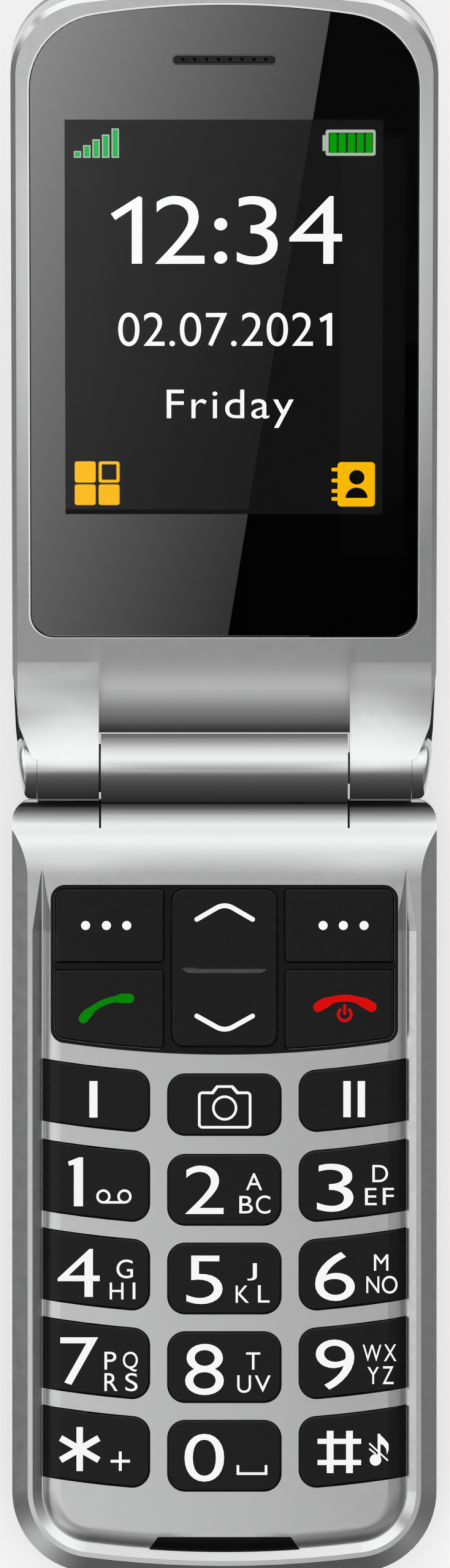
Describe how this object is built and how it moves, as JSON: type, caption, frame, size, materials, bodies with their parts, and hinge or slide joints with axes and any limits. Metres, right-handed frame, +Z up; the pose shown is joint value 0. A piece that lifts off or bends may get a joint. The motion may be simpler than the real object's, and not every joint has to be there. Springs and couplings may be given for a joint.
{
  "type": "flip phone",
  "caption": "Clamshell mobile phone: a keypad half and a display half that fold together on a barrel hinge.",
  "frame": {"origin": "centre of the base's flat rest face, on the battery cover", "axes": "+Z up out of the keypad, +X to the right of someone reading the keys, +Y from the keypad towards the lid; the phone lies open on its back"},
  "size_m": [0.052, 0.1965, 0.0412],
  "materials": {
    "silver_paint": "satin metallic paint on moulded plastic",
    "case_black": "fine matt texture",
    "lid_shell": "glossy lacquer on moulded plastic",
    "key_black": "glossy, with printed legends",
    "panel_black": "glossy",
    "lens_black": "polished clear window with a black printed back",
    "display_glass": "polished",
    "outer_glass": "polished, smoked",
    "grille_black": "blackened mesh",
    "rubber_mat": "matt",
    "dome_film": "clear film over steel domes",
    "circuit_board": "solder mask",
    "spring_steel": "stamped",
    "screw_steel": "blackened",
    "battery_wrap": "wrapped can",
    "contact_brass": "plated",
    "inner_plastic": "moulded",
    "tin_shell": "drawn and tinned",
    "hinge_steel": "turned",
    "ribbon_film": "flexible film",
    "magnet_plate": "nickel plated"
  },
  "bodies": {
    "base": {"front_housing": "silver_paint", "rear_housing": "case_black", "keypad_panel": "panel_black", "microphone_insert": "panel_black", "keymat": "rubber_mat", "dome_sheet": "dome_film", "main_board": "circuit_board", "radio_shield": "tin_shell", "sim_holder": "spring_steel", "battery_contacts": "contact_brass", "battery": "battery_wrap", "loudspeaker": "inner_plastic", "vibration_motor": "hinge_steel", "charging_port": "tin_shell", "antenna_carrier": "inner_plastic", "microphone": "inner_plastic", "case_screws": "screw_steel", "hinge_capsule": "hinge_steel", "ribbon_cable": "ribbon_film"},
    "lid": {"lid_inner_housing": "silver_paint", "lid_outer_housing": "lid_shell", "display_lens": "lens_black", "display_module": "display_glass", "display_bracket": "spring_steel", "earpiece_grille": "grille_black", "earpiece_speaker": "inner_plastic", "lid_board": "circuit_board", "outer_display_lens": "outer_glass", "outer_display": "display_glass", "camera_window": "outer_glass", "camera_module": "inner_plastic", "lid_magnet": "magnet_plate", "lid_screws": "screw_steel", "hinge_cam_shaft": "hinge_steel", "hinge_bush": "inner_plastic", "hinge_cap_left": "silver_paint", "hinge_cap_right": "silver_paint"},
    "battery_cover": {"battery_cover": "case_black"},
    "key_rocker": {"key_rocker": "key_black"},
    "key_menu_left": {"key_menu_left": "key_black"},
    "key_call": {"key_call": "key_black"},
    "key_menu_right": {"key_menu_right": "key_black"},
    "key_end": {"key_end": "key_black"},
    "key_memory_one": {"key_memory_one": "key_black"},
    "key_camera": {"key_camera": "key_black"},
    "key_memory_two": {"key_memory_two": "key_black"},
    "key_1": {"key_1": "key_black"},
    "key_2": {"key_2": "key_black"},
    "key_3": {"key_3": "key_black"},
    "key_4": {"key_4": "key_black"},
    "key_5": {"key_5": "key_black"},
    "key_6": {"key_6": "key_black"},
    "key_7": {"key_7": "key_black"},
    "key_8": {"key_8": "key_black"},
    "key_9": {"key_9": "key_black"},
    "key_star": {"key_star": "key_black"},
    "key_0": {"key_0": "key_black"},
    "key_hash": {"key_hash": "key_black"}
  },
  "joints": [
    {"name": "lid_hinge", "type": "hinge", "parent": "base", "child": "lid", "pos_m": [0, 0.0499, 0.011], "axis": [1, 0, 0], "range_deg": [0, 162]},
    {"name": "cover_slide", "type": "slide", "parent": "base", "child": "battery_cover", "axis": [0, -1, 0], "range_m": [0, 0.012]},
    {"name": "rocker_tip", "type": "hinge", "parent": "base", "child": "key_rocker", "pos_m": [0, 0.0254, 0.00895], "axis": [1, 0, 0], "range_deg": [-1.7, 1.7], "stiffness_Nm_per_rad": 0.05},
    {"name": "key_menu_left_press", "type": "slide", "parent": "base", "child": "key_menu_left", "axis": [0, 0, -1], "range_m": [0, 0.0003], "stiffness_N_per_m": 800, "springref_m": -0.0005},
    {"name": "key_call_press", "type": "slide", "parent": "base", "child": "key_call", "axis": [0, 0, -1], "range_m": [0, 0.0003], "stiffness_N_per_m": 800, "springref_m": -0.0005},
    {"name": "key_menu_right_press", "type": "slide", "parent": "base", "child": "key_menu_right", "axis": [0, 0, -1], "range_m": [0, 0.0003], "stiffness_N_per_m": 800, "springref_m": -0.0005},
    {"name": "key_end_press", "type": "slide", "parent": "base", "child": "key_end", "axis": [0, 0, -1], "range_m": [0, 0.0003], "stiffness_N_per_m": 800, "springref_m": -0.0005},
    {"name": "key_memory_one_press", "type": "slide", "parent": "base", "child": "key_memory_one", "axis": [0, 0, -1], "range_m": [0, 0.0003], "stiffness_N_per_m": 800, "springref_m": -0.0005},
    {"name": "key_camera_press", "type": "slide", "parent": "base", "child": "key_camera", "axis": [0, 0, -1], "range_m": [0, 0.0003], "stiffness_N_per_m": 800, "springref_m": -0.0005},
    {"name": "key_memory_two_press", "type": "slide", "parent": "base", "child": "key_memory_two", "axis": [0, 0, -1], "range_m": [0, 0.0003], "stiffness_N_per_m": 800, "springref_m": -0.0005},
    {"name": "key_1_press", "type": "slide", "parent": "base", "child": "key_1", "axis": [0, 0, -1], "range_m": [0, 0.0003], "stiffness_N_per_m": 800, "springref_m": -0.0005},
    {"name": "key_2_press", "type": "slide", "parent": "base", "child": "key_2", "axis": [0, 0, -1], "range_m": [0, 0.0003], "stiffness_N_per_m": 800, "springref_m": -0.0005},
    {"name": "key_3_press", "type": "slide", "parent": "base", "child": "key_3", "axis": [0, 0, -1], "range_m": [0, 0.0003], "stiffness_N_per_m": 800, "springref_m": -0.0005},
    {"name": "key_4_press", "type": "slide", "parent": "base", "child": "key_4", "axis": [0, 0, -1], "range_m": [0, 0.0003], "stiffness_N_per_m": 800, "springref_m": -0.0005},
    {"name": "key_5_press", "type": "slide", "parent": "base", "child": "key_5", "axis": [0, 0, -1], "range_m": [0, 0.0003], "stiffness_N_per_m": 800, "springref_m": -0.0005},
    {"name": "key_6_press", "type": "slide", "parent": "base", "child": "key_6", "axis": [0, 0, -1], "range_m": [0, 0.0003], "stiffness_N_per_m": 800, "springref_m": -0.0005},
    {"name": "key_7_press", "type": "slide", "parent": "base", "child": "key_7", "axis": [0, 0, -1], "range_m": [0, 0.0003], "stiffness_N_per_m": 800, "springref_m": -0.0005},
    {"name": "key_8_press", "type": "slide", "parent": "base", "child": "key_8", "axis": [0, 0, -1], "range_m": [0, 0.0003], "stiffness_N_per_m": 800, "springref_m": -0.0005},
    {"name": "key_9_press", "type": "slide", "parent": "base", "child": "key_9", "axis": [0, 0, -1], "range_m": [0, 0.0003], "stiffness_N_per_m": 800, "springref_m": -0.0005},
    {"name": "key_star_press", "type": "slide", "parent": "base", "child": "key_star", "axis": [0, 0, -1], "range_m": [0, 0.0003], "stiffness_N_per_m": 800, "springref_m": -0.0005},
    {"name": "key_0_press", "type": "slide", "parent": "base", "child": "key_0", "axis": [0, 0, -1], "range_m": [0, 0.0003], "stiffness_N_per_m": 800, "springref_m": -0.0005},
    {"name": "key_hash_press", "type": "slide", "parent": "base", "child": "key_hash", "axis": [0, 0, -1], "range_m": [0, 0.0003], "stiffness_N_per_m": 800, "springref_m": -0.0005}
  ]
}
